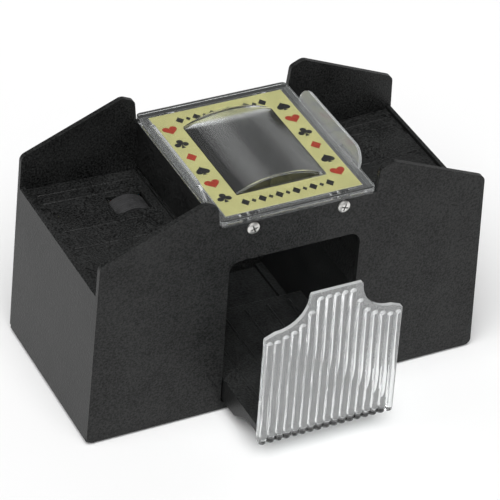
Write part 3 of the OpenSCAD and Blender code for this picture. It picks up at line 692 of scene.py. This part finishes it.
def make_ribs(name, node, lines):
    """Ribs on a CAD node's top surface, along lines from (x, y) to (x, y)."""
    on_top = surface_under(node)
    bm = bmesh.new()
    for start, end in lines:
        rib(bm, on_top(*start), on_top(*end))
    bmesh.ops.recalc_face_normals(bm, faces=bm.faces)
    mesh = bpy.data.meshes.new(name)
    bm.to_mesh(mesh)
    bm.free()
    mesh.shade_smooth()
    mesh.materials.append(PAINTS["black_abs"])
    piece = link(bpy.data.objects.new(name, mesh))
    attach(piece, BODY_OF[node])


def make_hopper_ribs(side):
    """Six ribs down each hopper floor, on both sides of the rollers and between them."""
    node = f"hopper_floor_{side}"
    low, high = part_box(node)
    middle = (low.y + high.y) / 2
    ends = (low.x + HOPPER_RIB_INSET, high.x - HOPPER_RIB_INSET)
    lines = []
    for y in HOPPER_RIB_YS:
        lines.append(((ends[0], middle + y * MM), (ends[1], middle + y * MM)))
    make_ribs(f"hopper_ribs_{side}", node, lines)


def make_deck_ribs():
    """Ribs along the tray's deck, from front to back."""
    low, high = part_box("tray_deck")
    lines = []
    for x in DECK_RIB_XS:
        lines.append(((x * MM, low.y + DECK_RIB_INSET), (x * MM, high.y - DECK_RIB_INSET)))
    make_ribs("deck_ribs", "tray_deck", lines)


# ---- Label print ----

PIP = 7.0 * MM  # height of a pip
PIP_X = 29.9 * MM  # of the two columns of pips
PIP_PITCH = 11.8 * MM
INK_T = 0.02 * MM
INK_SINK = INK_T / 4  # how far the ink reaches into the card
LEFT_PIPS = ("heart", "club", "diamond", "spade", "heart", "club")
RIGHT_PIPS = ("spade", "heart", "club", "diamond", "spade", "heart")
ARC_STEPS = 40
HEART_UNITS = 30  # height of the heart's curve in its own units
HEART_MIDDLE = 2.5
SPADE_NOTCH = 24  # degrees of the heart's curve that the spade's foot hides
SPADE_HEAD = 0.92
SPADE_RISE = 0.06
SPADE_FOOT = 0.17  # half a foot's width, as a share of a pip's height
CLUB_FOOT = 0.16
CLUB_LOBES = (  # x, y and radius, as shares of a pip's height
    (0.0, 0.27, 0.23),
    (-0.28, -0.09, 0.23),
    (0.28, -0.09, 0.23),
    (0.0, 0.0, 0.12),
)
CLUB_START = -78  # degrees, from which the lobes go round by CLUB_SWEEP
CLUB_SWEEP = 336
ORNAMENT_Y = 36.2 * MM  # of the two rows of lozenges
ORNAMENT_PITCH = 4.4 * MM
ORNAMENTS = 11
LARGE_LOZENGE = 5.6 * MM
SMALL_LOZENGE = 3.2 * MM


def heart_curve(start):
    """A unit-high heart's outline, from start degrees past its notch round to the other side."""
    points = []
    for i in range(ARC_STEPS + 1):
        t = math.radians(start + (360 - 2 * start) * i / ARC_STEPS)
        x = 16 * math.sin(t) ** 3
        y = 13 * math.cos(t) - 5 * math.cos(2 * t) - 2 * math.cos(3 * t) - math.cos(4 * t)
        points.append((x / HEART_UNITS, (y + HEART_MIDDLE) / HEART_UNITS))
    return points


def heart():
    return heart_curve(0)[:-1]


def spade():
    """An upturned heart on a foot."""
    head = []
    for x, y in heart_curve(SPADE_NOTCH):
        head.append((x * SPADE_HEAD, SPADE_RISE - y * SPADE_HEAD))
    return [(SPADE_FOOT, -0.5), *head, (-SPADE_FOOT, -0.5)]


def club():
    """Three lobes and a foot, as the furthest point of the lobes in each direction."""
    points = [(CLUB_FOOT, -0.5)]
    for i in range(ARC_STEPS * 2 + 1):
        a = math.radians(CLUB_START + CLUB_SWEEP * i / (ARC_STEPS * 2))
        reach = 0.0
        for cx, cy, r in CLUB_LOBES:
            along = cx * math.cos(a) + cy * math.sin(a)
            inside = r * r - cx * cx - cy * cy + along * along
            if inside > 0:
                reach = max(reach, along + math.sqrt(inside))
        points.append((reach * math.cos(a), reach * math.sin(a)))
    points.append((-CLUB_FOOT, -0.5))
    return points


def diamond():
    return [(0.4, 0.0), (0.0, 0.5), (-0.4, 0.0), (0.0, -0.5)]


OUTLINES = {"heart": heart(), "club": club(), "diamond": diamond(), "spade": spade()}
RED = ("heart", "diamond")


def printed(name, shapes, z, ink):
    """Flat prints: one thin prism for each (outline, size, x, y)."""
    bm = bmesh.new()
    for outline, size, x, y in shapes:
        low = [bm.verts.new((x + px * size, y + py * size, z)) for px, py in outline]
        face = bm.faces.new(low)
        raised = bmesh.ops.extrude_face_region(bm, geom=[face])["geom"]
        top = [v for v in raised if isinstance(v, bmesh.types.BMVert)]
        bmesh.ops.translate(bm, verts=top, vec=(0, 0, INK_T))
    bmesh.ops.recalc_face_normals(bm, faces=bm.faces)
    mesh = bpy.data.meshes.new(name)
    bm.to_mesh(mesh)
    bm.free()
    mesh.materials.append(ink)
    piece = link(bpy.data.objects.new(name, mesh))
    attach(piece, BODY_OF["label_sheet"])


def make_label_print():
    """Card suits down both sides of the label, and a row of lozenges along the front and back."""
    low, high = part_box("label_sheet")
    middle = (low.y + high.y) / 2
    pips = []
    for x, column in ((-PIP_X, LEFT_PIPS), (PIP_X, RIGHT_PIPS)):
        for i, kind in enumerate(column):
            pips.append((kind, x, middle + ((len(column) - 1) / 2 - i) * PIP_PITCH))
    red = [(OUTLINES[k], PIP, x, y) for k, x, y in pips if k in RED]
    black = [(OUTLINES[k], PIP, x, y) for k, x, y in pips if k not in RED]
    for side in (-1, 1):
        for i in range(ORNAMENTS):
            size = LARGE_LOZENGE if i % 2 == 0 else SMALL_LOZENGE
            x = (i - (ORNAMENTS - 1) / 2) * ORNAMENT_PITCH
            black.append((OUTLINES["diamond"], size, x, middle + side * ORNAMENT_Y))
    z = high.z - INK_SINK
    printed("label_red_pips", red, z, RED_INK)
    printed("label_black_pips", black, z, BLACK_INK)


# ---- The scene ----

SOFT_EDGES = {  # radius of the rounding
    "housing_shell": 0.5 * MM,
    "base_plate": 0.3 * MM,
    "tray_deck": 0.4 * MM,
    "rubber_feet": 0.3 * MM,
}
for side in SIDES:
    SOFT_EDGES[f"hopper_floor_{side}"] = 0.3 * MM
    SOFT_EDGES[f"chute_{side}"] = 0.3 * MM
    SOFT_EDGES[f"gate_{side}"] = 0.3 * MM
    SOFT_EDGES[f"battery_door_{side}"] = 0.3 * MM
    SOFT_EDGES[f"roller_tyres_{side}"] = 0.12 * MM
    SOFT_EDGES[f"roller_hubs_{side}"] = 0.2 * MM

make_camera()
make_world(strength=0.13)
make_sky_light("softbox", direction=(-0.4, -0.55, 1.3), spread=60, strength=3.4)
make_panel_light("back", place=(0.12, 1.0, 1.0), size=0.42, watts=0.44)
make_panel_light("back_right", place=(0.9, 1.0, 0.45), size=0.5, watts=0.26)
make_floor(floor_paint())
bpy.context.scene.view_settings.view_transform = "Standard"

paint_nodes()
for node, radius in SOFT_EDGES.items():
    softened(node, radius)
for node in SCREWS:
    finish_screws(node)
finish_tray_front()
finish_cover()
make_button()
make_label_print()
make_deck_ribs()
for side in SIDES:
    make_hopper_ribs(side)
    finish_cells(side)
